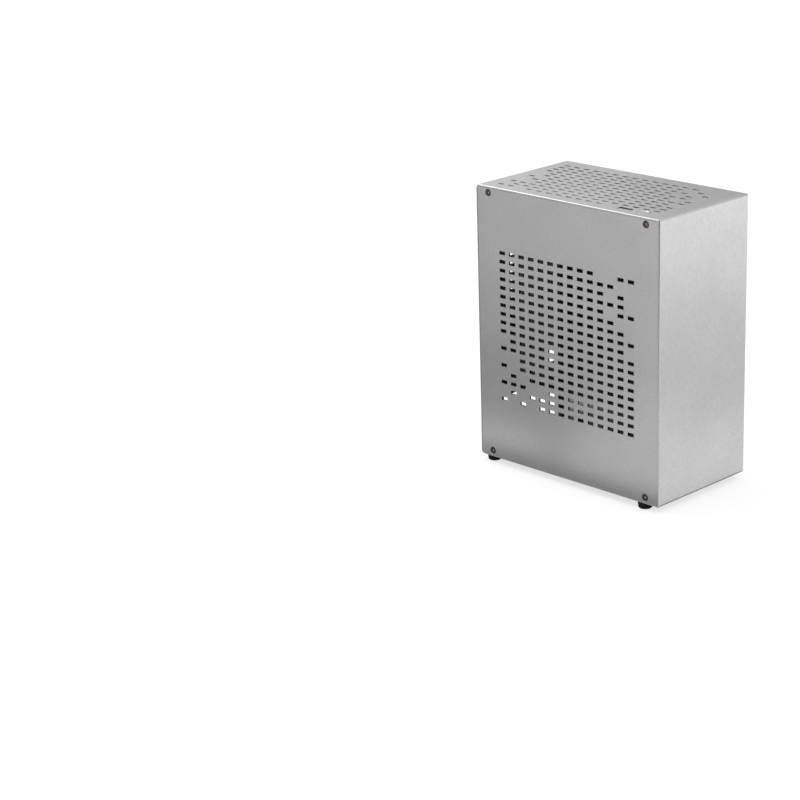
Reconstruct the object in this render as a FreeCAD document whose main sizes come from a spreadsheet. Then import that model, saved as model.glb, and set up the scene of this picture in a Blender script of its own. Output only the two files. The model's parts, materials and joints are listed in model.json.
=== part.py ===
"""Mini PC case: a folded aluminium shell with a perforated cover, standing on four rubber feet.

Millimetres. The origin is on the ground under the middle of the case, +Z is up, the perforated
cover faces -Y, the plain outer wall faces +X and the rear wall with the power supply opening faces -X.
"""
import FreeCAD
import Part
import os
import re

doc = FreeCAD.newDocument("mini_pc_case")
sheet = doc.addObject("Spreadsheet::Sheet", "Sizes")

# Driving dimensions
SIZES = {
    # folded outer shell
    "case_width": 184.0,
    "case_depth": 104.0,
    "case_height": 222.5,
    "wall": 1.5,
    "bend_radius": 3.5,
    "outer_bend_radius": 1.7,
    "rim_round": 1.2,
    "lip_width": 24.0,
    # covers and the seam around them
    "cover_thickness": 1.5,
    "cover_inset": 0.2,
    "cover_rear_gap": 0.1,
    "cover_outer_gap": 0.2,
    "cover_end_gap": 0.15,
    "cover_corner_radius": 2.5,
    "cover_bottom_rise": 0.5,
    "cover_screw_side": 13.0,
    "cover_screw_end": 5.4,
    # ventilation slots
    "slot_length": 6.0,
    "slot_breadth": 3.0,
    "slot_pitch_long": 10.0,
    "slot_pitch_short": 7.0,
    "cover_vent_up": 0.45,
    "top_vent_rear": 0.9,
    "top_vent_front": 1.5,
    "rear_vent_depth": 37.8,
    "rear_vent_centre": 127.4,
    # screws
    "thread_diameter": 3.0,
    "thread_play": 0.1,
    "clearance_hole": 3.4,
    "countersunk_head": 5.8,
    "countersink_play": 0.2,
    "head_sunk": 0.1,
    "cap_head_diameter": 5.5,
    "cap_head_height": 1.8,
    "socket_flats": 2.0,
    "socket_depth": 1.0,
    "cover_screw_length": 8.0,
    "back_screw_length": 12.0,
    # tie pillars
    "pillar_flats": 5.0,
    "tapped_depth": 10.0,
    # floor pan
    "pan_thickness": 1.2,
    "pan_bend_radius": 2.0,
    "pan_side_gap": 0.2,
    "pan_front_flange": 9.0,
    "pan_rear_flange": 25.0,
    # motherboard tray
    "tray_thickness": 1.2,
    "tray_setback": 2.5,
    "tray_side_gap": 1.0,
    "tray_end_gap": 0.6,
    "spacer_diameter": 6.0,
    # motherboard seat, mini-ITX hole places
    "board_size": 170.0,
    "board_rear_gap": 1.5,
    "board_below_top": 9.5,
    "standoff_height": 6.5,
    "standoff_flats": 5.0,
    "board_hole_edge": 6.35,
    "board_hole_line": 157.48,
    "board_hole_rear_low": 10.16,
    "board_hole_rear_high": 33.02,
    "board_hole_far_side": 15.9,
    "board_thickness": 1.6,
    # connector aperture of the rear wall and its plate
    "aperture_length": 158.75,
    "aperture_breadth": 44.45,
    "aperture_below_board": 2.0,
    "plate_thickness": 0.8,
    "plate_overlap": 1.2,
    "plate_play": 0.3,
    "cable_opening_height": 10.5,
    "cable_opening_breadth": 16.0,
    "cable_opening_from_end": 9.0,
    "cable_opening_from_board": 2.5,
    # power supply opening of the rear wall
    "supply_depth": 52.0,
    "supply_breadth": 74.0,
    "supply_low": 6.0,
    "supply_height": 36.0,
    "supply_tab": 11.0,
    "supply_back_tab": 25.0,
    "supply_hole": 4.0,
    "supply_hole_inset": 3.0,
    # small circuit board under the top panel, with its distances from the plain outer wall and the cover
    "panel_board_drop": 13.5,
    "panel_board_inner": 58.0,
    "panel_board_outer": 17.5,
    "panel_board_front": 5.0,
    "panel_board_back": 27.0,
    "panel_standoff_flats": 5.0,
    "front_standoff_side": 53.0,
    "front_standoff_depth": 11.0,
    "rear_standoff_side": 31.5,
    "rear_standoff_depth": 22.5,
    "board_screw_length": 6.0,
    # connector socket
    "socket_side": 41.5,
    "controls_depth": 11.0,
    "socket_breadth": 13.1,
    "socket_gauge": 5.7,
    "socket_wall": 0.3,
    "socket_recess": 0.1,
    "socket_panel_gap": 0.1,
    "insert_base": 3.0,
    "insert_play": 0.05,
    "tongue_breadth": 11.1,
    "tongue_gauge": 1.84,
    "tongue_recess": 0.4,
    "tongue_forward": 0.9,
    # power button and its switch
    "button_side": 24.1,
    "button_diameter": 10.0,
    "button_panel_gap": 0.3,
    "button_proud": 0.3,
    "button_edge_round": 0.4,
    "button_dish_radius": 7.5,
    "button_dish_rim": 0.8,
    "button_flange_diameter": 12.4,
    "button_flange_height": 1.0,
    "button_rest_gap": 0.2,
    "button_stem_diameter": 4.0,
    "switch_breadth": 6.0,
    "switch_height": 3.5,
    "plunger_diameter": 3.4,
    "plunger_play": 0.3,
    "plunger_out": 2.0,
    "plunger_in": 1.4,
    "switch_bore_depth": 2.6,
    # feet
    "foot_height": 5.0,
    "foot_top_diameter": 11.5,
    "foot_bottom_diameter": 10.4,
    "foot_edge_round": 1.4,
    "rear_foot_side": 8.0,
    "rear_foot_front": 7.5,
    "outer_foot_side": 17.0,
    "outer_foot_front": 5.5,
    "foot_back": 12.0,
    "foot_recess_diameter": 6.0,
    "foot_seat_height": 2.6,
    "foot_screw_length": 5.0,
}
for row, (alias, value) in enumerate(SIZES.items(), start=1):
    sheet.set("A%d" % row, alias)
    sheet.set("B%d" % row, str(value))
    sheet.setAlias("B%d" % row, alias)
doc.recompute()

# Slots of the perforated cover: one text row per row of slots, from the top
COVER_VENTS = (
    "##########..##",
    "############..",
    "###########.#.",
    "#############.",
    "###########.##",
    "############..",
    "#############.",
    "##############",
    "#############.",
    "##############",
    ".#############",
    "##############",
    "..############",
    "#.############",
    ".#.###########",
    "###..#########",
    ".#.###########",
    "#.#.##########",
)
# Slots of the top panel, one text row per row of slots, from the perforated cover backwards
TOP_VENTS = (
    "##.########.....",
    ".###############",
    "################",
    "..##############",
    ".##############.",
    "#.##############",
    ".#############.#",
    ".##############.",
    "#############.#.",
    "##############.#",
    "#############.#.",
    "##############..",
)
# Slots of the rear wall, beside the connector aperture
REAR_VENTS = ("#",) * 12

# Planes and lengths that several pieces share, as formulas of the driving dimensions
UNDERSIDE = "foot_height"
TOP = "(foot_height + case_height)"
PANEL_INSIDE = "(%s - wall)" % TOP
SIDE = "(case_width / 2)"
FRONT = "(-case_depth / 2)"
BACK = "(case_depth / 2)"
LIP_TOP = "(foot_height + wall)"
COVER_FACE = "(%s + cover_inset)" % FRONT
COVER_REAR = "(%s + cover_thickness)" % COVER_FACE
BACK_COVER_FACE = "(%s - cover_inset)" % BACK
BACK_COVER_REAR = "(%s - cover_thickness)" % BACK_COVER_FACE
TRAY_BACK = "(%s - tray_setback)" % BACK_COVER_REAR
TRAY_FRONT = "(%s - tray_thickness)" % TRAY_BACK
PAN_TOP = "(%s + pan_thickness)" % LIP_TOP
SCREW_ACROSS = "(%s - cover_screw_side)" % SIDE
SCREW_LOW = "(foot_height + cover_screw_end)"
SCREW_HIGH = "(%s - cover_screw_end)" % TOP
SHANK_RADIUS = "(thread_diameter / 2 - thread_play / 2)"
TAPPED_RADIUS = "(thread_diameter / 2)"
CLEAR_RADIUS = "(clearance_hole / 2)"
HEAD_RADIUS = "(countersunk_head / 2)"
HEAD_HEIGHT = "(%s - %s)" % (HEAD_RADIUS, SHANK_RADIUS)
BOARD_BACK = "(%s - standoff_height)" % TRAY_FRONT
BOARD_REAR = "(-case_width / 2 + wall + board_rear_gap)"
BOARD_LOW = "(%s - board_below_top - board_size)" % TOP
APERTURE_BACK = "(%s - board_thickness + aperture_below_board)" % BOARD_BACK
APERTURE_FRONT = "(%s - aperture_breadth)" % APERTURE_BACK
APERTURE_LOW = "(%s + board_size / 2 - aperture_length / 2)" % BOARD_LOW
APERTURE_HIGH = "(%s + aperture_length)" % APERTURE_LOW
CONTROLS = "(%s + controls_depth)" % FRONT
SOCKET_ACROSS = "(%s - socket_side)" % SIDE
BUTTON_ACROSS = "(%s - button_side)" % SIDE
PANEL_BOARD_TOP = "(%s - panel_board_drop)" % TOP
PANEL_BOARD_BOTTOM = "(%s - board_thickness)" % PANEL_BOARD_TOP
FLANGE_TOP = "(%s - button_rest_gap)" % PANEL_INSIDE
FLANGE_BOTTOM = "(%s - button_flange_height)" % FLANGE_TOP
SWITCH_TOP = "(%s + switch_height)" % PANEL_BOARD_TOP
PLUNGER_TOP = "(%s + plunger_out)" % SWITCH_TOP
# length by which a cutter runs past the face that it opens
PAST = "wall"

AXES = {
    "x": (1, 0, 0),
    "y": (0, 1, 0),
    "-y": (0, -1, 0),
    "z": (0, 0, 1),
    "-z": (0, 0, -1),
}
# distance below which two planes, or the tips of two unit vectors, count as one
TOUCHING = 1e-4
nodes = []


def formula(text):
    """The same formula with each driving dimension written as a cell of the sheet."""
    def cell(word):
        return "Sizes." + word.group() if word.group() in SIZES else word.group()

    return re.sub(r"[a-z_]+", cell, text)


def size(alias):
    """The number in one cell of the sheet."""
    return float(sheet.get(alias))


def bind(solid, **formulas):
    for name, text in formulas.items():
        solid.setExpression(name, formula(text))


def put(solid, at, axis="z"):
    """Places a solid at three formulas, with its own Z axis turned to the given axis."""
    turn = FreeCAD.Rotation(FreeCAD.Vector(0, 0, 1), FreeCAD.Vector(*AXES[axis]))
    solid.Placement = FreeCAD.Placement(FreeCAD.Vector(0, 0, 0), turn)
    for letter, text in zip("xyz", at):
        solid.setExpression("Placement.Base." + letter, formula(text))
    return solid


def box(name, x, y, z):
    """Box between a low and a high formula along each axis."""
    solid = doc.addObject("Part::Box", name)
    for side, (low, high) in (("Length", x), ("Width", y), ("Height", z)):
        bind(solid, **{side: "%s - (%s)" % (high, low)})
    return put(solid, (x[0], y[0], z[0]))


def cylinder(name, at, axis, radius, length):
    solid = doc.addObject("Part::Cylinder", name)
    bind(solid, Radius=radius, Height=length)
    return put(solid, at, axis)


def cone(name, at, axis, first_radius, last_radius, length):
    solid = doc.addObject("Part::Cone", name)
    bind(solid, Radius1=first_radius, Radius2=last_radius, Height=length)
    return put(solid, at, axis)


def hexagon(name, at, axis, flats, length):
    """Six-sided bar of the given width across its flats."""
    solid = doc.addObject("Part::Prism", name)
    solid.Polygon = 6
    bind(solid, Circumradius="%s / sqrt(3)" % flats, Height=length)
    return put(solid, at, axis)


def fuse(name, solids):
    joined = doc.addObject("Part::MultiFuse", name)
    joined.Shapes = solids
    joined.Refine = True
    return joined


def group(name, solids):
    bundle = doc.addObject("Part::Compound", name)
    bundle.Links = solids
    return bundle


def cut(name, base, tools):
    rest = doc.addObject("Part::Cut", name)
    rest.Base = base
    rest.Tool = tools[0] if len(tools) == 1 else group(name + "_tools", tools)
    return rest


def rounded(name, base, radius, wanted):
    """Rounds the edges of a solid for which wanted(edge) holds."""
    doc.recompute()
    fillet = doc.addObject("Part::Fillet", name)
    fillet.Base = base
    chosen = [number for number, edge in enumerate(base.Shape.Edges, start=1) if wanted(edge)]
    fillet.Edges = [(number, radius, radius) for number in chosen]
    return fillet


def runs_along(edge, axis):
    """Whether an edge is a straight line along one axis."""
    if not isinstance(edge.Curve, Part.Line):
        return False
    return edge.tangentAt(edge.FirstParameter).cross(FreeCAD.Vector(*AXES[axis])).Length < TOUCHING


def lies_at(edge, letter, value):
    """Whether a whole edge lies in the plane where one coordinate has the given value."""
    low = getattr(edge.BoundBox, letter.upper() + "Min")
    high = getattr(edge.BoundBox, letter.upper() + "Max")
    return abs(low - value) < TOUCHING and abs(high - value) < TOUCHING


def keep(label, solid):
    """Makes a finished solid a named piece of the case."""
    solid.Label = label
    nodes.append(solid)
    return solid


def vents(name, rows, long_axis, short_axis, centre, thick_axis, thickness):
    """Cutter with one block for each slot of a text pattern, centred on a point of the wall."""
    long_step = FreeCAD.Vector(*AXES[long_axis])
    short_step = FreeCAD.Vector(*AXES[short_axis])
    through = FreeCAD.Vector(*AXES[thick_axis])
    diagonal = long_step * size("slot_length") + short_step * size("slot_breadth") + through * thickness
    blocks = []
    for row, marks in enumerate(rows):
        for column, mark in enumerate(marks):
            if mark != "#":
                continue
            along = (column - (len(marks) - 1) / 2) * size("slot_pitch_long")
            across = (row - (len(rows) - 1) / 2) * size("slot_pitch_short")
            middle = centre + long_step * along + short_step * across
            corners = FreeCAD.BoundBox(middle - diagonal / 2, middle + diagonal / 2)
            low = FreeCAD.Vector(corners.XMin, corners.YMin, corners.ZMin)
            blocks.append(Part.makeBox(corners.XLength, corners.YLength, corners.ZLength, low))
    cutter = doc.addObject("Part::Feature", name)
    cutter.Shape = Part.makeCompound(blocks)
    return cutter


def corners():
    """The four places of the cover screws: name, formula across, formula up."""
    for end, height in (("bottom", SCREW_LOW), ("top", SCREW_HIGH)):
        for side, sign in (("left", "-"), ("right", "+")):
            yield "%s_%s" % (end, side), sign + SCREW_ACROSS, height


def foot_places():
    """The four feet: name, formula across, formula along the depth."""
    for side, across, front in (
        ("left", "(-case_width / 2 + rear_foot_side)", "rear_foot_front"),
        ("right", "(case_width / 2 - outer_foot_side)", "outer_foot_front"),
    ):
        yield "front_" + side, across, "(%s + %s)" % (FRONT, front)
        yield "back_" + side, across, "(%s - foot_back)" % BACK


def countersunk_screw(name, face, axis, length):
    """Countersunk screw with a hexagon socket. Its head's flat lies at face, and it points along axis."""
    head = cone(name + "_head", face, axis, HEAD_RADIUS, SHANK_RADIUS, HEAD_HEIGHT)
    shank = cylinder(name + "_shank", face, axis, SHANK_RADIUS, length)
    socket = hexagon(name + "_socket", face, axis, "socket_flats", "socket_depth")
    return cut(name, fuse(name + "_blank", [head, shank]), [socket])


def countersunk_hole(name, face, axis, depth):
    """Clearance hole with a countersink, for a screw whose head is sunk a little below the face."""
    reach = "(countersunk_head / 2 + countersink_play / 2 + head_sunk)"
    sink = cone(name + "_sink", face, axis, reach, CLEAR_RADIUS, "%s - %s" % (reach, CLEAR_RADIUS))
    hole = cylinder(name + "_hole", face, axis, CLEAR_RADIUS, depth)
    return fuse(name, [sink, hole])


def cap_screw(name, seat, length):
    """Upright cylinder head screw: its head hangs below the seat, and its shank points up."""
    head = cylinder(name + "_head", seat, "-z", "cap_head_diameter / 2", "cap_head_height")
    shank = cylinder(name + "_shank", seat, "z", SHANK_RADIUS, length)
    mouth = (seat[0], seat[1], seat[2] + " - cap_head_height")
    socket = hexagon(name + "_socket", mouth, "z", "socket_flats", "socket_depth")
    return cut(name, fuse(name + "_blank", [head, shank]), [socket])


def bent(name, base, inset):
    """Rounds the rear wall's bends, then the sharper ones of the outer wall, on a box inset by a length."""
    half_width = size("case_width") / 2 - inset
    rear = rounded(name + "_rear", base, size("bend_radius") - inset,
                   lambda edge: runs_along(edge, "y") and lies_at(edge, "x", -half_width))
    return rounded(name + "_outer", rear, size("outer_bend_radius") - inset,
                   lambda edge: runs_along(edge, "y") and lies_at(edge, "x", half_width))


def outer_shell():
    """Top, walls and lips folded from one sheet, open towards both covers and under the floor pan."""
    blank = box("shell_blank", ("-" + SIDE, SIDE), (FRONT, BACK), (UNDERSIDE, TOP))
    bends = bent("shell_bends", blank, 0.0)
    half_depth = size("case_depth") / 2
    rims = rounded("shell_rims", bends, size("rim_round"),
                   lambda edge: lies_at(edge, "y", -half_depth) or lies_at(edge, "y", half_depth))
    between_walls = ("-case_width / 2 + wall", "case_width / 2 - wall")
    hollow = box("shell_hollow", between_walls,
                 (FRONT + " - " + PAST, BACK + " + " + PAST), (LIP_TOP, PANEL_INSIDE))
    inside = bent("shell_inside", hollow, size("wall"))
    lip_level = (UNDERSIDE + " - " + PAST, LIP_TOP + " + " + PAST)
    floor_gap = box("shell_floor_gap", ("-case_width / 2 + lip_width", "case_width / 2 - lip_width"),
                    (FRONT + " - " + PAST, BACK + " + " + PAST), lip_level)
    front_end = box("lip_front_end", between_walls,
                    (FRONT + " - " + PAST, COVER_REAR + " + cover_end_gap"), lip_level)
    back_end = box("lip_back_end", between_walls,
                   (BACK_COVER_REAR + " - cover_end_gap", BACK + " + " + PAST), lip_level)
    folded = cut("shell_folded", cut("shell_tube", rims, [inside]), [floor_gap, front_end, back_end])
    top_centre = FreeCAD.Vector(-size("top_vent_rear"), -size("top_vent_front"),
                                size("foot_height") + size("case_height") - size("wall") / 2)
    top_slots = vents("top_slots", TOP_VENTS, "x", "y", top_centre, "z", 3 * size("wall"))
    rear_centre = FreeCAD.Vector(size("wall") / 2 - size("case_width") / 2,
                                 size("rear_vent_depth") - size("case_depth") / 2,
                                 size("foot_height") + size("rear_vent_centre"))
    rear_slots = vents("rear_slots", REAR_VENTS, "y", "z", rear_centre, "x", 3 * size("wall"))
    tools = [top_slots, rear_slots] + panel_openings() + rear_openings()
    for place, across, along in foot_places():
        at = (across, along, UNDERSIDE + " - " + PAST)
        tools.append(cylinder("lip_hole_" + place, at, "z", CLEAR_RADIUS, "3 * wall"))
    keep("outer_shell", cut("shell", folded, tools))


def panel_openings():
    """Openings of the top panel for the connector socket and the power button."""
    half_breadth = "(socket_breadth / 2 + socket_panel_gap)"
    half_gauge = "(socket_gauge / 2 + socket_panel_gap)"
    up = (PANEL_INSIDE + " - " + PAST, TOP + " + " + PAST)
    socket = box("socket_opening",
                 (SOCKET_ACROSS + " - " + half_breadth, SOCKET_ACROSS + " + " + half_breadth),
                 (CONTROLS + " - " + half_gauge, CONTROLS + " + " + half_gauge), up)
    button = cylinder("button_opening", (BUTTON_ACROSS, CONTROLS, up[0]), "z",
                      "button_diameter / 2 + button_panel_gap", "3 * wall")
    return [socket, button]


def rear_openings():
    """Openings of the rear wall: connector aperture, power supply opening and its two screw holes."""
    through = ("-case_width / 2 - " + PAST, "-case_width / 2 + 2 * wall")
    aperture = box("aperture", through, (APERTURE_FRONT, APERTURE_BACK), (APERTURE_LOW, APERTURE_HIGH))
    low = "(foot_height + supply_low)"
    high = "(foot_height + supply_low + supply_height)"
    centre = "(-case_depth / 2 + supply_depth)"
    front = centre + " - supply_breadth / 2"
    back = centre + " + supply_breadth / 2"
    main = box("supply_main", through, (front, back), (low, high + " - supply_tab"))
    upper = box("supply_upper", through, (front + " + supply_tab", back + " - supply_back_tab"), (low, high))
    tools = [aperture, fuse("supply_opening", [main, upper])]
    for name, sign in (("front", "-"), ("back", "+")):
        along = "%s %s (supply_breadth / 2 - supply_hole_inset)" % (centre, sign)
        at = (through[0], along, high + " - supply_hole_inset")
        tools.append(cylinder("supply_hole_" + name, at, "x", "supply_hole / 2", "3 * wall"))
    return tools


def cover_blank(name, face, rear):
    """Flat cover that fits between the shell's walls with a seam around it."""
    across = ("-case_width / 2 + wall + cover_rear_gap", "case_width / 2 - wall - cover_outer_gap")
    up = (UNDERSIDE + " + cover_bottom_rise", PANEL_INSIDE + " - cover_end_gap")
    plate = box(name, across, (face, rear), up)
    bottom = size("foot_height") + size("cover_bottom_rise")
    return rounded(name + "_rounded", plate, size("cover_corner_radius"),
                   lambda edge: runs_along(edge, "y") and lies_at(edge, "z", bottom))


def covers():
    """The perforated cover and the plain cover of the far side, each with four countersunk screws."""
    blank = cover_blank("front_blank", COVER_FACE, COVER_REAR)
    middle = size("cover_inset") + size("cover_thickness") / 2 - size("case_depth") / 2
    centre = FreeCAD.Vector(0, middle, size("foot_height") + size("case_height") / 2 + size("cover_vent_up"))
    tools = [vents("cover_slots", COVER_VENTS, "x", "-z", centre, "y", 3 * size("cover_thickness"))]
    screws = []
    for place, across, height in corners():
        face = (across, COVER_FACE, height)
        tools.append(countersunk_hole("front_sink_" + place, face, "y", "2 * cover_thickness"))
        seat = (across, COVER_FACE + " + head_sunk", height)
        screws.append(countersunk_screw("front_screw_" + place, seat, "y", "cover_screw_length"))
    keep("perforated_cover", cut("front_cover", blank, tools))
    keep("front_cover_screws", group("front_screws", screws))

    blank = cover_blank("back_blank", BACK_COVER_REAR, BACK_COVER_FACE)
    tools = []
    screws = []
    for place, across, height in corners():
        face = (across, BACK_COVER_FACE, height)
        tools.append(countersunk_hole("back_sink_" + place, face, "-y", "2 * cover_thickness"))
        seat = (across, BACK_COVER_FACE + " - head_sunk", height)
        screws.append(countersunk_screw("back_screw_" + place, seat, "-y", "back_screw_length"))
    keep("back_cover", cut("rear_cover", blank, tools))
    keep("back_cover_screws", group("back_screws", screws))


def pillars():
    """Hexagonal tie bars from the perforated cover to the tray, the low ones between the pan's flanges."""
    for place, across, height in corners():
        low = place.startswith("bottom")
        start = COVER_REAR + (" + pan_thickness" if low else "")
        stop = TRAY_FRONT + (" - pan_thickness" if low else "")
        front_end = (across, start, height)
        back_end = (across, stop, height)
        bar = hexagon("bar_" + place, front_end, "y", "pillar_flats", "%s - (%s)" % (stop, start))
        front_hole = cylinder("bar_front_hole_" + place, front_end, "y", TAPPED_RADIUS, "tapped_depth")
        back_hole = cylinder("bar_back_hole_" + place, back_end, "-y", TAPPED_RADIUS, "tapped_depth")
        keep("pillar_" + place, cut("tie_" + place, bar, [front_hole, back_hole]))


def bottom_pan():
    """Floor folded from one sheet. It lies on the shell's lips, and the cover screws clamp its flanges."""
    across = "(%s - bend_radius - pan_side_gap)" % SIDE
    front_top = "(foot_height + wall + pan_front_flange)"
    rear_top = "(foot_height + wall + pan_rear_flange)"
    blank = box("pan_blank", ("-" + across, across), (COVER_REAR, TRAY_FRONT), (LIP_TOP, rear_top))
    floor = size("foot_height") + size("wall")
    floor_top = floor + size("pan_thickness")
    outside = rounded("pan_outside", blank, size("pan_bend_radius"),
                      lambda edge: runs_along(edge, "x") and lies_at(edge, "z", floor))
    hollow = box("pan_hollow", ("-" + across + " - " + PAST, across + " + " + PAST),
                 (COVER_REAR + " + pan_thickness", TRAY_FRONT + " - pan_thickness"),
                 (PAN_TOP, rear_top + " + " + PAST))
    inner_radius = size("pan_bend_radius") - size("pan_thickness")
    inside = rounded("pan_inside", hollow, inner_radius,
                     lambda edge: runs_along(edge, "x") and lies_at(edge, "z", floor_top))
    trim = box("pan_front_trim", ("-" + across + " - " + PAST, across + " + " + PAST),
               (COVER_REAR + " - " + PAST, COVER_REAR + " + 2 * pan_thickness"),
               (front_top, rear_top + " + " + PAST))
    tools = [trim]
    through = "%s - %s + 2 * pan_thickness" % (TRAY_FRONT, COVER_REAR)
    for place, across_screw, height in corners():
        if place.startswith("bottom"):
            at = (across_screw, COVER_REAR + " - pan_thickness", height)
            tools.append(cylinder("pan_flange_hole_" + place, at, "y", CLEAR_RADIUS, through))
    for place, across_foot, along in foot_places():
        at = (across_foot, along, LIP_TOP + " - " + PAST)
        tools.append(cylinder("pan_foot_hole_" + place, at, "z", TAPPED_RADIUS, "2 * wall + pan_thickness"))
    folded = cut("pan_folded", outside, [inside])
    keep("bottom_pan", cut("pan", folded, tools))


def motherboard_seat():
    """Tray behind the motherboard, its four spacers to the back cover and the four board standoffs."""
    across = "(case_width / 2 - wall - tray_side_gap)"
    plate = box("tray_plate", ("-" + across, across), (TRAY_FRONT, TRAY_BACK),
                (LIP_TOP, PANEL_INSIDE + " - tray_end_gap"))
    plate_rounded = rounded("tray_rounded", plate, size("bend_radius"), lambda edge: runs_along(edge, "y"))
    tools = []
    spacers = []
    for place, across_screw, height in corners():
        at = (across_screw, TRAY_FRONT + " - tray_thickness", height)
        tools.append(cylinder("tray_hole_" + place, at, "y", CLEAR_RADIUS, "3 * tray_thickness"))
        seat = (across_screw, TRAY_BACK, height)
        sleeve = cylinder("sleeve_" + place, seat, "y", "spacer_diameter / 2", "tray_setback")
        bore_at = (across_screw, TRAY_FRONT, height)
        bore_length = "tray_setback + 2 * tray_thickness"
        bore = cylinder("sleeve_bore_" + place, bore_at, "y", CLEAR_RADIUS, bore_length)
        spacers.append(cut("spacer_" + place, sleeve, [bore]))
    standoffs = []
    low = BOARD_LOW + " + board_hole_edge"
    high = low + " + board_hole_line"
    far = SIDE + " - board_hole_far_side"
    for place, along, height in (
        ("low_rear", BOARD_REAR + " + board_hole_rear_low", low),
        ("low_far", far, low),
        ("high_rear", BOARD_REAR + " + board_hole_rear_high", high),
        ("high_far", far, high),
    ):
        at = (along, TRAY_FRONT + " - tray_thickness", height)
        tools.append(cylinder("tray_stud_hole_" + place, at, "y", TAPPED_RADIUS, "3 * tray_thickness"))
        foot = (along, TRAY_FRONT, height)
        mouth = (along, BOARD_BACK, height)
        post = hexagon("post_" + place, foot, "-y", "standoff_flats", "standoff_height")
        stud = cylinder("stud_" + place, foot, "y", SHANK_RADIUS, "tray_thickness")
        bore = cylinder("post_bore_" + place, mouth, "y", TAPPED_RADIUS, "standoff_height - wall")
        standoffs.append(cut("standoff_" + place, fuse("standoff_blank_" + place, [post, stud]), [bore]))
    keep("motherboard_tray", cut("tray", plate_rounded, tools))
    keep("tray_spacers", group("spacers", spacers))
    keep("motherboard_standoffs", group("standoffs", standoffs))


def io_cover_plate():
    """Plate behind the connector aperture, pressed out to fill it, with one opening for a cable."""
    wall_inside = "(-case_width / 2 + wall)"
    rim = box("plate_rim", (wall_inside, wall_inside + " + plate_thickness"),
              (APERTURE_FRONT + " - plate_overlap", APERTURE_BACK + " + plate_overlap"),
              (APERTURE_LOW + " - plate_overlap", APERTURE_HIGH + " + plate_overlap"))
    field = box("plate_field", (wall_inside + " - plate_thickness", wall_inside + " + plate_thickness"),
                (APERTURE_FRONT + " + plate_play", APERTURE_BACK + " - plate_play"),
                (APERTURE_LOW + " + plate_play", APERTURE_HIGH + " - plate_play"))
    low = APERTURE_LOW + " + cable_opening_from_end"
    back = APERTURE_BACK + " - cable_opening_from_board"
    cable = box("cable_opening", ("-case_width / 2 - wall", "-case_width / 2 + 3 * wall"),
                (back + " - cable_opening_breadth", back), (low, low + " + cable_opening_height"))
    keep("io_cover_plate", cut("io_plate", fuse("io_plate_blank", [rim, field]), [cable]))


def panel_board():
    """Small circuit board that hangs under the top panel on two standoffs."""
    plate = box("circuit_plate", (SIDE + " - panel_board_inner", SIDE + " - panel_board_outer"),
                (FRONT + " + panel_board_front", FRONT + " + panel_board_back"),
                (PANEL_BOARD_BOTTOM, PANEL_BOARD_TOP))
    tools = []
    standoffs = []
    screws = []
    for place in ("front", "rear"):
        across = "%s - %s_standoff_side" % (SIDE, place)
        along = "%s + %s_standoff_depth" % (FRONT, place)
        below = (across, along, PANEL_BOARD_BOTTOM + " - board_thickness")
        under = (across, along, PANEL_BOARD_BOTTOM)
        upper = (across, along, PANEL_BOARD_TOP)
        tools.append(cylinder("circuit_hole_" + place, below, "z", CLEAR_RADIUS, "3 * board_thickness"))
        post = hexagon("hanger_" + place, upper, "z", "panel_standoff_flats", "panel_board_drop - wall")
        bore = cylinder("hanger_bore_" + place, upper, "z", TAPPED_RADIUS, "board_screw_length")
        standoffs.append(cut("hanger_tapped_" + place, post, [bore]))
        screws.append(cap_screw("circuit_screw_" + place, under, "board_screw_length"))
    keep("front_io_board", cut("circuit_board", plate, tools))
    keep("board_standoffs", group("hangers", standoffs))
    keep("board_screws", group("circuit_screws", screws))


def connector_socket():
    """Upright connector socket: a tube of thin sheet and a moulded insert with a tongue."""
    mouth = TOP + " - socket_recess"

    def block(name, breadth, gauge, z, middle=CONTROLS):
        return box(name, (SOCKET_ACROSS + " - %s / 2" % breadth, SOCKET_ACROSS + " + %s / 2" % breadth),
                   (middle + " - %s / 2" % gauge, middle + " + %s / 2" % gauge), z)

    outside = block("socket_outside", "socket_breadth", "socket_gauge", (PANEL_BOARD_TOP, mouth))
    inside = block("socket_inside", "(socket_breadth - 2 * socket_wall)", "(socket_gauge - 2 * socket_wall)",
                   (PANEL_BOARD_TOP + " - wall", mouth + " + wall"))
    keep("usb_socket_shell", cut("socket_tube", outside, [inside]))
    base_top = PANEL_BOARD_TOP + " + insert_base"
    base = block("insert_block", "(socket_breadth - 2 * socket_wall - 2 * insert_play)",
                 "(socket_gauge - 2 * socket_wall - 2 * insert_play)", (PANEL_BOARD_TOP, base_top))
    tongue_top = mouth + " - tongue_recess"
    tongue = block("insert_tongue", "tongue_breadth", "tongue_gauge", (PANEL_BOARD_TOP, tongue_top),
                   CONTROLS + " - tongue_forward")
    keep("usb_socket_insert", fuse("socket_insert", [base, tongue]))


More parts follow.
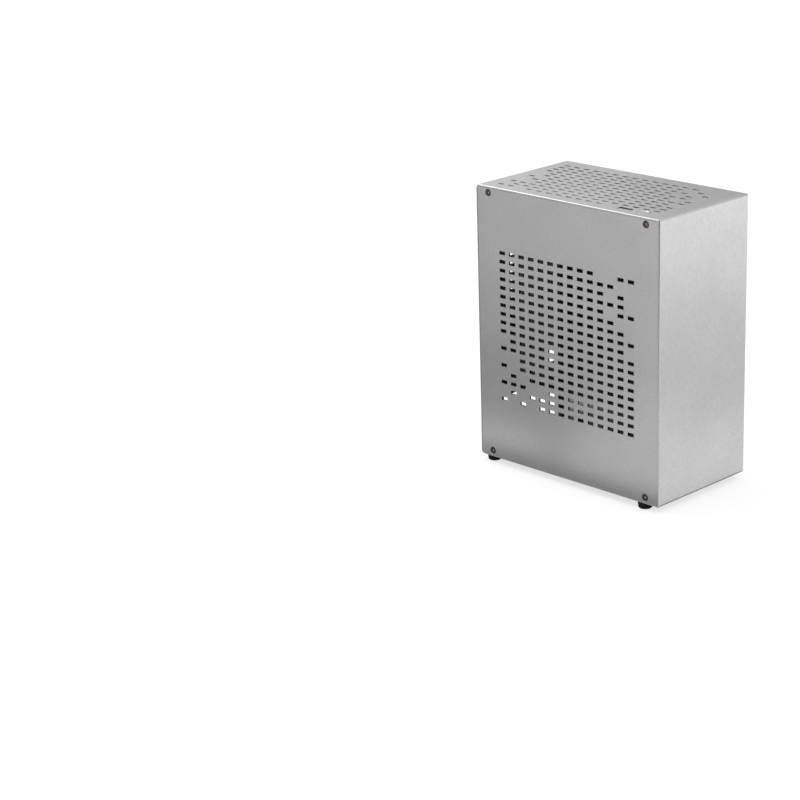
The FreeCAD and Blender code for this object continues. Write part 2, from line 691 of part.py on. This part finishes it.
def power_button():
    """Button cap with a flange under the top panel, the switch below it and the switch's plunger."""
    cap_top = TOP + " + button_proud"
    cap = cylinder("button_cap", (BUTTON_ACROSS, CONTROLS, FLANGE_BOTTOM), "z", "button_diameter / 2",
                   "%s - %s" % (cap_top, FLANGE_BOTTOM))
    cap_height = size("foot_height") + size("case_height") + size("button_proud")
    soft = rounded("button_soft", cap, size("button_edge_round"),
                   lambda edge: lies_at(edge, "z", cap_height))
    dish = doc.addObject("Part::Sphere", "button_dish")
    bind(dish, Radius="button_dish_radius")
    dish_rise = "sqrt(button_dish_radius ^ 2 - (button_diameter / 2 - button_dish_rim) ^ 2)"
    put(dish, (BUTTON_ACROSS, CONTROLS, cap_top + " + " + dish_rise))
    flange = cylinder("button_flange", (BUTTON_ACROSS, CONTROLS, FLANGE_BOTTOM), "z",
                      "button_flange_diameter / 2", "button_flange_height")
    stem = cylinder("button_stem", (BUTTON_ACROSS, CONTROLS, PLUNGER_TOP), "z", "button_stem_diameter / 2",
                    "%s - %s" % (FLANGE_TOP, PLUNGER_TOP))
    keep("power_button", cut("button", fuse("button_blank", [soft, flange, stem]), [dish]))
    plunger = cylinder("plunger", (BUTTON_ACROSS, CONTROLS, SWITCH_TOP + " - plunger_in"), "z",
                       "plunger_diameter / 2", "plunger_in + plunger_out")
    keep("switch_plunger", plunger)
    half = "switch_breadth / 2"
    body = box("switch_block", (BUTTON_ACROSS + " - " + half, BUTTON_ACROSS + " + " + half),
               (CONTROLS + " - " + half, CONTROLS + " + " + half), (PANEL_BOARD_TOP, SWITCH_TOP))
    bore = cylinder("switch_bore", (BUTTON_ACROSS, CONTROLS, SWITCH_TOP + " - switch_bore_depth"), "z",
                    "plunger_diameter / 2 + plunger_play", "2 * switch_bore_depth")
    keep("switch_body", cut("switch", body, [bore]))


def feet():
    """Tapered rubber feet under the shell's lips, each held by a screw that reaches into the pan."""
    screws = []
    for place, across, along in foot_places():
        body = cone("foot_taper_" + place, (across, along, "0"), "z", "foot_bottom_diameter / 2",
                    "foot_top_diameter / 2", "foot_height")
        soft = rounded("foot_soft_" + place, body, size("foot_edge_round"),
                       lambda edge: lies_at(edge, "z", 0.0))
        recess = cylinder("foot_recess_" + place, (across, along, "-wall"), "z", "foot_recess_diameter / 2",
                          "foot_seat_height + wall")
        hole = cylinder("foot_hole_" + place, (across, along, "0"), "z", CLEAR_RADIUS, "2 * foot_height")
        keep("foot_" + place, cut("foot_body_" + place, soft, [fuse("foot_bore_" + place, [recess, hole])]))
        seat = (across, along, "foot_seat_height")
        screws.append(cap_screw("foot_screw_" + place, seat, "foot_screw_length"))
    keep("foot_screws", group("foot_screw_set", screws))


def write_steps():
    """Checks every object of the document and every piece, then writes one file for each piece."""
    doc.recompute()
    for item in doc.Objects:
        if "Invalid" in item.State or "Error" in item.State:
            raise RuntimeError("%s failed: %s" % (item.Name, item.State))
    for node in nodes:
        if node.Shape.isNull() or not node.Shape.isValid() or not node.Shape.Solids:
            raise RuntimeError("%s has no valid shape" % node.Label)
    os.makedirs("parts", exist_ok=True)
    for node in nodes:
        node.Shape.exportStep("parts/%s.step" % node.Label)
        print("%-24s %2d solids %12.2f mm3" % (node.Label, len(node.Shape.Solids), node.Shape.Volume))


outer_shell()
covers()
pillars()
bottom_pan()
motherboard_seat()
io_cover_plate()
panel_board()
connector_socket()
power_button()
feet()
write_steps()
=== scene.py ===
"""Looks of the mini PC case, built around its CAD model. Metres, in the CAD model's frame."""
import json
import math

import bmesh
import bpy
from mathutils import Matrix, Vector


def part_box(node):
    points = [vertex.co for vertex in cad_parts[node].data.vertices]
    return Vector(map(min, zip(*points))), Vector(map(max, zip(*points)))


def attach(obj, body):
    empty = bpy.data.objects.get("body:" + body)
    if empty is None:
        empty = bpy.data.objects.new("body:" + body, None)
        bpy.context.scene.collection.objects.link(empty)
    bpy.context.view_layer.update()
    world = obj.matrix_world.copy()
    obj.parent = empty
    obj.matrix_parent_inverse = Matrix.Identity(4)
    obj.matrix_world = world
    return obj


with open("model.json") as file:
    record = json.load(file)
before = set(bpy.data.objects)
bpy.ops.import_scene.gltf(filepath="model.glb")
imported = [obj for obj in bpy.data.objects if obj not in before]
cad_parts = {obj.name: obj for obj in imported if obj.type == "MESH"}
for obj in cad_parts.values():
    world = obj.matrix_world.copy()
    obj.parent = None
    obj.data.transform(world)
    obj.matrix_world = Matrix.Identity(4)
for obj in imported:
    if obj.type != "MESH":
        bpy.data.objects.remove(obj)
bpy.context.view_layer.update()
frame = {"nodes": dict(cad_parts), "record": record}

scene = bpy.context.scene
scene.view_settings.view_transform = "Standard"
nodes = frame["nodes"]
MM = 0.001
WHITE = (1.0, 1.0, 1.0, 1.0)

# Materials
NOISE_LOW, NOISE_MIDDLE, NOISE_HIGH = 0.3, 0.5, 0.7
EDGE_SAMPLES = 6
GRAIN_SHARE, CLOUD_SHARE = 0.72, 0.28
# Painted shade behind a cover's face: how dark it is, and how far behind the face it begins
PAINTED_PUNCH_SHADE = 0.3
PAINTED_SHADE_DEPTH = 0.4 * MM
ROLLING_STRETCH = (18.0, 1300.0, 1300.0)
# Size and depth of the painted highlight on the cover screws' socket floors
GLINT_INNER, GLINT_OUTER = 1.1 * MM, 1.3 * MM
GLINT_WOBBLE = 0.12 * MM
GLINT_HEIGHT = 0.3 * MM
TRACES_PER_METRE = 1000.0


def shade(colour, factor):
    return tuple(channel * factor for channel in colour)


class Finish:
    """One material: a principled shader with textures that follow the part's own coordinates."""

    def __init__(self, name, **values):
        self.material = bpy.data.materials.new(name)
        self.material.use_nodes = True
        self.tree = self.material.node_tree
        self.tree.nodes.clear()
        inputs = {socket.replace("_", " "): value for socket, value in values.items()}
        self.shader = self.add("ShaderNodeBsdfPrincipled", inputs)
        output = self.add("ShaderNodeOutputMaterial")
        self.link(self.shader.outputs["BSDF"], output.inputs["Surface"])
        self.place = self.add("ShaderNodeTexCoord").outputs["Object"]

    def add(self, kind, inputs=None, **settings):
        """A node with these input values and settings."""
        node = self.tree.nodes.new(kind)
        for name, value in settings.items():
            setattr(node, name, value)
        for socket, value in (inputs or {}).items():
            node.inputs[socket].default_value = value
        return node

    def link(self, source, target):
        self.tree.links.new(source, target)

    def axes(self):
        """The part's coordinates, one output for each axis."""
        node = self.add("ShaderNodeSeparateXYZ")
        self.link(self.place, node.inputs["Vector"])
        return node.outputs

    def stretched(self, scale, offset=(0, 0, 0)):
        """The part's coordinates, scaled along each axis."""
        mapping = self.add("ShaderNodeMapping", {"Scale": scale, "Location": offset})
        self.link(self.place, mapping.inputs["Vector"])
        return mapping.outputs["Vector"]

    def noise(self, scale, detail=2.0, roughness=0.5, vector=None):
        """Noise whose features are about 1 / scale metres apart."""
        values = {"Scale": scale, "Detail": detail, "Roughness": roughness}
        texture = self.add("ShaderNodeTexNoise", values)
        self.link(vector or self.place, texture.inputs["Vector"])
        return texture.outputs["Fac"]

    def span(self, source, low, high, start=NOISE_LOW, stop=NOISE_HIGH):
        """Maps a value from start..stop, or else from a noise's usual range, to low..high."""
        values = {"From Min": start, "From Max": stop, "To Min": low, "To Max": high}
        mapped = self.add("ShaderNodeMapRange", values)
        self.link(source, mapped.inputs["Value"])
        return mapped.outputs["Result"]

    def ramp(self, source, *stops):
        """Colours at places along a texture."""
        node = self.add("ShaderNodeValToRGB")
        elements = node.color_ramp.elements
        while len(elements) < len(stops):
            elements.new(0.5)
        for element, (position, colour) in zip(elements, stops):
            element.position = position
            element.color = (*colour, 1.0)
        self.link(source, node.inputs["Fac"])
        return node.outputs["Color"]

    def math(self, operation, first, second=0.0):
        node = self.add("ShaderNodeMath", operation=operation)
        for socket, value in zip(node.inputs, (first, second)):
            if isinstance(value, (int, float)):
                socket.default_value = value
            else:
                self.link(value, socket)
        return node.outputs["Value"]

    def colour(self, source):
        self.link(source, self.shader.inputs["Base Color"])

    def tint(self, source, colour, dark, pale):
        """Colours the material, darker and paler along a noise by these factors."""
        stops = (NOISE_LOW, shade(colour, dark)), (NOISE_HIGH, shade(colour, pale))
        self.colour(self.ramp(source, *stops))

    def roughness(self, source):
        self.link(source, self.shader.inputs["Roughness"])

    def bump(self, height, strength, distance, edge=None):
        """Relief of a texture. An edge radius also breaks the edges, in the shading only."""
        node = self.add("ShaderNodeBump", {"Strength": strength, "Distance": distance})
        if edge is not None:
            broken = self.add("ShaderNodeBevel", {"Radius": edge}, samples=EDGE_SAMPLES)
            self.link(broken.outputs["Normal"], node.inputs["Normal"])
        self.link(height, node.inputs["Height"])
        self.link(node.outputs["Normal"], self.shader.inputs["Normal"])


def blasted_aluminium(name, colour, roughness, edge, face=None):
    """Bead-blasted, clear anodised sheet: fine grain with faint clouds.

    Where a cover's face is given, as its distance from Y = 0, the punched edges behind it are darker:
    painted shade in the slots.
    """
    finish = Finish(name, Metallic=1.0)
    grain = finish.noise(scale=560.0, detail=3.0, roughness=0.65)
    clouds = finish.noise(scale=22.0)
    mixed = finish.math("ADD", finish.math("MULTIPLY", grain, GRAIN_SHARE),
                        finish.math("MULTIPLY", clouds, CLOUD_SHARE))
    tone = finish.ramp(mixed, (NOISE_LOW, shade(colour, 0.90)), (NOISE_MIDDLE, colour),
                       (NOISE_HIGH, shade(colour, 1.10)))
    # Painted shade: colour darkened deeper than the cover's face, in the punched slots
    if face is not None:
        depth = finish.math("ABSOLUTE", finish.axes()["Y"])
        start, stop = face - PAINTED_SHADE_DEPTH, face - PAINTED_SHADE_DEPTH / 2
        painted_shade = finish.add("ShaderNodeVectorMath", operation="SCALE")
        finish.link(tone, painted_shade.inputs["Vector"])
        finish.link(finish.span(depth, PAINTED_PUNCH_SHADE, 1.0, start, stop), painted_shade.inputs["Scale"])
        tone = painted_shade.outputs["Vector"]
    finish.colour(tone)
    finish.roughness(finish.span(finish.noise(scale=700.0), roughness - 0.05, roughness + 0.05))
    relief = finish.noise(scale=1900.0, roughness=0.6)
    finish.bump(relief, strength=0.10, distance=0.12 * MM, edge=edge)
    return finish.material


def rolled_aluminium(name, colour, metallic=1.0):
    """Plain sheet with the rolling direction along X."""
    finish = Finish(name, Metallic=metallic)
    along = finish.stretched(ROLLING_STRETCH)
    streaks = finish.noise(scale=1.0, detail=4.0, roughness=0.6, vector=along)
    finish.tint(streaks, colour, dark=0.86, pale=1.08)
    finish.roughness(finish.span(streaks, low=0.30, high=0.46))
    finish.bump(streaks, strength=0.08, distance=0.1 * MM)
    return finish.material


def powder_coat(name, colour):
    """Matt black coating with its fine orange-peel skin."""
    finish = Finish(name, Specular_IOR_Level=0.4)
    skin = finish.noise(scale=900.0)
    finish.tint(skin, colour, dark=0.8, pale=1.25)
    finish.roughness(finish.span(finish.noise(scale=2400.0, detail=1.0), low=0.48, high=0.62))
    finish.bump(skin, strength=0.25, distance=0.2 * MM)
    return finish.material


def plated(name, colour, roughness):
    """Plated metal with fine turning marks and faint stains."""
    finish = Finish(name, Metallic=1.0)
    marks = finish.noise(scale=3200.0)
    stains = finish.noise(scale=160.0, detail=3.0, roughness=0.6)
    finish.tint(stains, colour, dark=0.82, pale=1.1)
    finish.roughness(finish.span(stains, roughness - 0.06, roughness + 0.08))
    finish.bump(marks, strength=0.10, distance=0.06 * MM)
    return finish.material


def screw_with_painted_glint(name, colour, bright, across, middle, reach, floor):
    """Dark plated heads whose socket floors carry a painted highlight: a near-white, less metallic spot for
    the glint in each socket.

    The heads sit at the distance across from X = 0 and at the distance reach from the middle height.
    The floors lie at the distance floor from Y = 0.
    """
    finish = Finish(name, Metallic=1.0)
    axes = finish.axes()
    aside = finish.math("SUBTRACT", finish.math("ABSOLUTE", axes["X"]), across)
    height = finish.math("ABSOLUTE", finish.math("SUBTRACT", axes["Z"], middle))
    above = finish.math("SUBTRACT", height, reach)
    squared = finish.math("ADD", finish.math("MULTIPLY", aside, aside),
                          finish.math("MULTIPLY", above, above))
    wobble = finish.span(finish.noise(scale=2200.0), -GLINT_WOBBLE, GLINT_WOBBLE)
    radius = finish.math("ADD", finish.math("SQRT", squared), wobble)
    inner = finish.span(radius, 1.0, 0.0, GLINT_INNER, GLINT_OUTER)
    depth = finish.math("ABSOLUTE", axes["Y"])
    deep = finish.span(depth, 1.0, 0.0, floor, floor + GLINT_HEIGHT)
    glint_mask = finish.math("MULTIPLY", inner, deep)
    # Painted highlight: near-white and less metallic on the socket floor
    finish.colour(finish.ramp(glint_mask, (0.0, colour), (1.0, bright)))
    finish.link(finish.span(glint_mask, 1.0, 0.3, 0.0, 1.0), finish.shader.inputs["Metallic"])
    finish.roughness(finish.span(finish.noise(scale=900.0), low=0.24, high=0.38))
    finish.bump(finish.noise(scale=3200.0), strength=0.10, distance=0.06 * MM)
    return finish.material


def moulded(name, colour, roughness):
    """Moulded plastic with a spark-eroded texture."""
    finish = Finish(name, Specular_IOR_Level=0.45)
    skin = finish.noise(scale=2600.0, roughness=0.6)
    finish.tint(finish.noise(scale=300.0), colour, dark=0.85, pale=1.15)
    finish.roughness(finish.span(skin, roughness - 0.06, roughness + 0.06))
    finish.bump(skin, strength=0.18, distance=0.1 * MM)
    return finish.material


def rubber(name, colour):
    """Matt black rubber, a little dusty."""
    finish = Finish(name, Specular_IOR_Level=0.3)
    dust = finish.noise(scale=420.0, detail=4.0, roughness=0.65)
    finish.colour(finish.ramp(dust, (0.35, colour), (0.75, shade(colour, 2.0))))
    finish.roughness(finish.span(dust, low=0.62, high=0.82))
    finish.bump(finish.noise(scale=1700.0), strength=0.25, distance=0.12 * MM)
    return finish.material


def circuit_mask(name, colour):
    """Green solder mask over copper traces."""
    finish = Finish(name, Roughness=0.32, Specular_IOR_Level=0.5)
    pattern = {
        "Scale": 1.0,
        "Brick Width": 3.4,
        "Row Height": 0.9,
        "Mortar Size": 0.14,
        "Color1": (*colour, 1.0),
        "Color2": (*shade(colour, 0.86), 1.0),
        "Mortar": (*shade(colour, 1.7), 1.0),
    }
    bricks = finish.add("ShaderNodeTexBrick", pattern, offset=0.5)
    finish.link(finish.stretched((TRACES_PER_METRE,) * 3), bricks.inputs["Vector"])
    finish.colour(bricks.outputs["Color"])
    finish.bump(bricks.outputs["Fac"], strength=0.12, distance=0.04 * MM)
    return finish.material


def turned_metal(name, colour, centre):
    """Polished cap with the rings that a lathe leaves around its middle."""
    finish = Finish(name, Metallic=1.0)
    wave = finish.add("ShaderNodeTexWave", {"Scale": 900.0, "Distortion": 0.4, "Detail": 1.0},
                      wave_type="RINGS", rings_direction="Z")
    around = finish.stretched((1.0, 1.0, 1.0), (-centre[0], -centre[1], 0.0))
    finish.link(around, wave.inputs["Vector"])
    rings = wave.outputs["Fac"]
    finish.colour(finish.ramp(rings, (0.0, shade(colour, 0.94)), (1.0, shade(colour, 1.04))))
    finish.roughness(finish.span(rings, 0.20, 0.26, 0.0, 1.0))
    finish.bump(rings, strength=0.06, distance=0.04 * MM)
    return finish.material


button_low, button_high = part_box("power_button")
cover_low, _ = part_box("perforated_cover")
BUTTON_CENTRE = (button_low + button_high) / 2
COVER_FACE = -cover_low.y
BLASTED_ROUGHNESS = 0.42
SHELL_EDGE, COVER_EDGE = 0.40 * MM, 0.12 * MM
FINISHES = {
    "shell_aluminium": blasted_aluminium(
        "shell_aluminium", (0.600, 0.600, 0.608), BLASTED_ROUGHNESS, SHELL_EDGE),
    "cover_aluminium": blasted_aluminium(
        "cover_aluminium", (0.600, 0.590, 0.597), BLASTED_ROUGHNESS, COVER_EDGE, COVER_FACE),
    # The pan's aluminium is half as pale as the shell's: painted shade for the inside of the case
    "pan_aluminium": rolled_aluminium("pan_aluminium", (0.30, 0.30, 0.30)),
    "black_sheet": powder_coat("black_sheet", (0.022, 0.022, 0.024)),
    "bright_steel": plated("bright_steel", (0.62, 0.62, 0.63), roughness=0.26),
    "dark_screw": plated("dark_screw", (0.16, 0.145, 0.13), roughness=0.30),
    "circuit_board": circuit_mask("circuit_board", (0.012, 0.075, 0.03)),
    "socket_plastic": moulded("socket_plastic", (0.42, 0.42, 0.43), roughness=0.42),
    "switch_plastic": moulded("switch_plastic", (0.020, 0.020, 0.021), roughness=0.48),
    "button_metal": turned_metal("button_metal", (0.62, 0.62, 0.63), BUTTON_CENTRE),
    "foot_rubber": rubber("foot_rubber", (0.008, 0.008, 0.008)),
}
for part in frame["record"]["subparts"]:
    mesh = nodes[part["node"]].data
    mesh.materials.clear()
    mesh.materials.append(FINISHES[part["material_slot"]])

# Own looks of the covers' screws, with a painted highlight in each socket, and of the plate on the
# connector aperture, paler with painted light
screw_low, screw_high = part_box("front_cover_screws")
HEAD_RADIUS = 2.9 * MM
SOCKET_DEPTH = 1.0 * MM
SCREW_ACROSS = screw_high.x - HEAD_RADIUS
SCREW_MIDDLE = (screw_low.z + screw_high.z) / 2
SCREW_REACH = screw_high.z - HEAD_RADIUS - SCREW_MIDDLE
SOCKET_FLOOR = -screw_low.y - SOCKET_DEPTH
cover_screw = screw_with_painted_glint("cover_screw", (0.10, 0.088, 0.078), (1.0, 0.98, 0.95),
                         SCREW_ACROSS, SCREW_MIDDLE, SCREW_REACH, SOCKET_FLOOR)
for node in ("front_cover_screws", "back_cover_screws"):
    nodes[node].data.materials[0] = cover_screw
# The plate's sheet is paler and less metallic than the shell: painted light for the inside of the case
pale_aluminium_painted_light = rolled_aluminium("pale_aluminium_painted_light", (0.74, 0.74, 0.74), metallic=0.4)
nodes["io_cover_plate"].data.materials[0] = pale_aluminium_painted_light

# Contact strips on the tongue of the connector socket
CONTACTS = (-3.5 * MM, -1.0 * MM, 1.0 * MM, 3.5 * MM)
CONTACT_WIDTH = 1.0 * MM
CONTACT_GAUGE = 0.12 * MM
CONTACT_BEND = 0.35 * MM
CONTACT_STEPS = 8
CONTACT_TIP = 0.6
TONGUE_GAUGE = 1.84 * MM
TONGUE_FORWARD = 0.9 * MM
INSERT_BASE = 3.0 * MM
TONGUE_MARGIN = 0.5 * MM


def contact_strips():
    """Four springs of gold-plated sheet on the tongue's back, each bowed a little and narrow at its top."""
    low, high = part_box("usb_socket_insert")
    middle = (low + high) / 2
    face = middle.y - TONGUE_FORWARD + TONGUE_GAUGE / 2
    bottom = low.z + INSERT_BASE
    top = high.z - TONGUE_MARGIN
    profile = []
    for step in range(CONTACT_STEPS + 1):
        share = step / CONTACT_STEPS
        bow = CONTACT_BEND * math.sin(math.pi * share) ** 2
        profile.append((face + bow, bottom + (top - bottom) * share))
    mesh = bmesh.new()
    for across in CONTACTS:
        x = middle.x + across
        rings = []
        for y, z in profile:
            half = CONTACT_WIDTH / 2 * (1.0 if z < top else CONTACT_TIP)
            behind = y + CONTACT_GAUGE
            corners = ((x - half, y), (x + half, y), (x + half, behind), (x - half, behind))
            rings.append([mesh.verts.new((px, py, z)) for px, py in corners])
        for lower, upper in zip(rings, rings[1:]):
            for side in range(len(lower)):
                after = (side + 1) % len(lower)
                mesh.faces.new((lower[side], lower[after], upper[after], upper[side]))
        mesh.faces.new(rings[0][::-1])
        mesh.faces.new(rings[-1])
    bmesh.ops.recalc_face_normals(mesh, faces=mesh.faces[:])
    data = bpy.data.meshes.new("usb_contacts")
    mesh.to_mesh(data)
    mesh.free()
    data.materials.append(plated("contact_gold", (0.78, 0.56, 0.24), roughness=0.26))
    strips = bpy.data.objects.new("usb_contacts", data)
    scene.collection.objects.link(strips)
    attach(strips, "case")


contact_strips()

# Floor, and grey cards that show in reflections only
FLOOR_RANGE = (-6, 6)
FLOOR_DARK, FLOOR_PALE = 0.37, 0.39
FLOOR_LIFT = 0.70
CARD_DARK, CARD_PALE = 0.96, 1.04


def plane(name, corners, material):
    mesh = bpy.data.meshes.new(name)
    mesh.from_pydata([Vector(corner) for corner in corners], [], [tuple(range(len(corners)))])
    mesh.materials.append(material)
    card = bpy.data.objects.new(name, mesh)
    scene.collection.objects.link(card)
    return card


def flat(places, z):
    """Corners of a card that lies at one height."""
    return [(x, y, z) for x, y in places]


def lying(x, y, z):
    """Corners of a rectangle that lies at one height, from its ranges in X and Y."""
    return flat([(x[0], y[0]), (x[1], y[0]), (x[1], y[1]), (x[0], y[1])], z)


def standing(start, end, z):
    """Corners of an upright rectangle above a line on the floor, from its range in Z."""
    return [(*start, z[0]), (*end, z[0]), (*end, z[1]), (*start, z[1])]


def floor_material():
    """Grey floor that keeps the case's shadow. A glow lifts it to white for the camera and in mirrors."""
    finish = Finish("floor_white", Roughness=0.9, Specular_IOR_Level=0.0)
    finish.colour(finish.ramp(finish.noise(scale=3.0), (NOISE_LOW, (FLOOR_DARK,) * 3),
                              (NOISE_HIGH, (FLOOR_PALE,) * 3)))
    path = finish.add("ShaderNodeLightPath").outputs
    seen = finish.math("MAXIMUM", path["Is Camera Ray"], path["Is Glossy Ray"])
    seen = finish.math("MAXIMUM", seen, path["Is Transmission Ray"])
    finish.shader.inputs["Emission Color"].default_value = WHITE
    finish.link(finish.math("MULTIPLY", seen, FLOOR_LIFT), finish.shader.inputs["Emission Strength"])
    return finish.material


def card_material(name, grey, glow):
    finish = Finish(name, Roughness=1.0, Specular_IOR_Level=0.0)
    finish.tint(finish.noise(scale=5.0), (grey,) * 3, CARD_DARK, CARD_PALE)
    finish.shader.inputs["Emission Color"].default_value = WHITE
    finish.shader.inputs["Emission Strength"].default_value = glow
    return finish.material


def mirrored_card(name, grey, corners, glow=0.0):
    """A card that stands in reflections, and neither in the picture nor in the light on the floor."""
    card = plane(name, corners, card_material(name, grey, glow))
    card.visible_camera = False
    card.visible_diffuse = False
    card.visible_shadow = False


# Name, grey and corners of each card, and its glow where it has one
CARDS = (
    ("card_front_left", 0.60,
     flat([(0, -0.054), (-2.67, -3.03), (-4, -3.03), (-4, -0.054)], 0.002)),
    ("card_front_right", 0.82,
     flat([(0, -0.054), (-2.67, -3.03), (0.5, -3.03), (0.5, -0.054)], 0.002)),
    ("card_far_left", 0.66, standing((-3.0, -0.3), (-2.0, -2.24), (0.0, 1.6))),
    ("card_far_right", 0.92, standing((-2.0, -2.24), (0.4, -3.0), (0.0, 1.6))),
    ("card_front_dark", 0.22,
     flat([(-0.70, -0.36), (-0.155, -0.36), (-0.05, -0.116), (-0.70, -0.116)], 0.004)),
    ("card_front_pale", 0.92, lying((-0.50, -0.06), (-0.110, -0.080), 0.0045)),
    # Painted shade: a darker strip in front of the cover for the shaded floor there, seen in reflections
    ("card_gap", 0.40, lying((-0.40, 0.15), (-0.074, -0.053), 0.005)),
    ("card_near", 0.03, lying((0.22, 3.0), (-3.0, -0.27), 0.004)),
    ("card_near_far", 0.05, standing((3.0, -0.3), (0.4, -3.0), (0.0, 2.0))),
    # Painted shade: a near-black card for the shaded floor under the case, seen in the walls' reflections
    ("card_under", 0.02, lying((-0.096, 0.096), (-0.053, 0.056), 0.0015)),
    # Painted light: a glowing card inside the case, under the top, seen in reflections
    ("card_inside", 0.2, standing((-0.088, -0.046), (0.088, -0.046), (0.186, 0.2245)), 0.66),
    ("card_aside", 0.60, lying((0.20, 0.50), (0.10, 0.50), 0.004)),
    ("card_aside_far", 0.70, lying((0.45, 2.5), (0.30, 2.5), 0.003), 0.90),
    ("card_behind", 0.52, standing((-0.26, 0.35), (0.30, 0.35), (0.22, 0.37))),
    ("card_behind_upper", 0.88, standing((-0.26, 0.35), (0.30, 0.35), (0.37, 0.80))),
    ("card_behind_left", 0.92, standing((-0.42, 0.35), (-0.26, 0.35), (0.22, 0.80))),
)
plane("floor", lying(FLOOR_RANGE, FLOOR_RANGE, 0), floor_material())
for card in CARDS:
    mirrored_card(*card)

# Light: an even white room and two soft lamps
ROOM_STRENGTH = 0.90
LAMP_TARGET = (0.0, 0.0, 0.15)
world = bpy.data.worlds.new("studio")
scene.world = world
world.use_nodes = True
room = world.node_tree.nodes["Background"]
room.inputs["Color"].default_value = WHITE
room.inputs["Strength"].default_value = ROOM_STRENGTH


def area_lamp(name, place, width, height, power):
    lamp = bpy.data.lights.new(name, "AREA")
    lamp.shape = "RECTANGLE"
    lamp.size = width
    lamp.size_y = height
    lamp.energy = power
    holder = bpy.data.objects.new(name, lamp)
    holder.location = place
    holder.rotation_mode = "QUATERNION"
    holder.rotation_quaternion = (Vector(LAMP_TARGET) - Vector(place)).to_track_quat("-Z", "Y")
    scene.collection.objects.link(holder)


area_lamp("lamp_upper_left", (-1.15, -0.3, 1.35), width=1.4, height=0.8, power=7.4)
area_lamp("lamp_upper_back", (0.55, 1.3, 1.25), width=0.7, height=0.7, power=2.2)

# Camera of the photograph
AZIMUTH, ELEVATION, ROLL = math.radians(46.555), math.radians(18.756), math.radians(-1.943)
CAMERA_PLACE = (1.09058, -1.26046, 0.62625)
SENSOR_WIDTH_MM, FOCAL_LENGTH_MM = 36.0, 100.36
back = Vector((math.sin(AZIMUTH) * math.cos(ELEVATION),
               -math.cos(AZIMUTH) * math.cos(ELEVATION),
               math.sin(ELEVATION)))
level = Vector((math.cos(AZIMUTH), math.sin(AZIMUTH), 0.0))
upright = back.cross(level)
right = math.cos(ROLL) * level + math.sin(ROLL) * upright
up = math.cos(ROLL) * upright - math.sin(ROLL) * level
lens = bpy.data.cameras.new("camera")
lens.sensor_width = SENSOR_WIDTH_MM
lens.lens = FOCAL_LENGTH_MM
camera = bpy.data.objects.new("camera", lens)
camera.matrix_world = Matrix.LocRotScale(
    Vector(CAMERA_PLACE), Matrix((right, up, back)).transposed(), None)
scene.collection.objects.link(camera)
scene.camera = camera
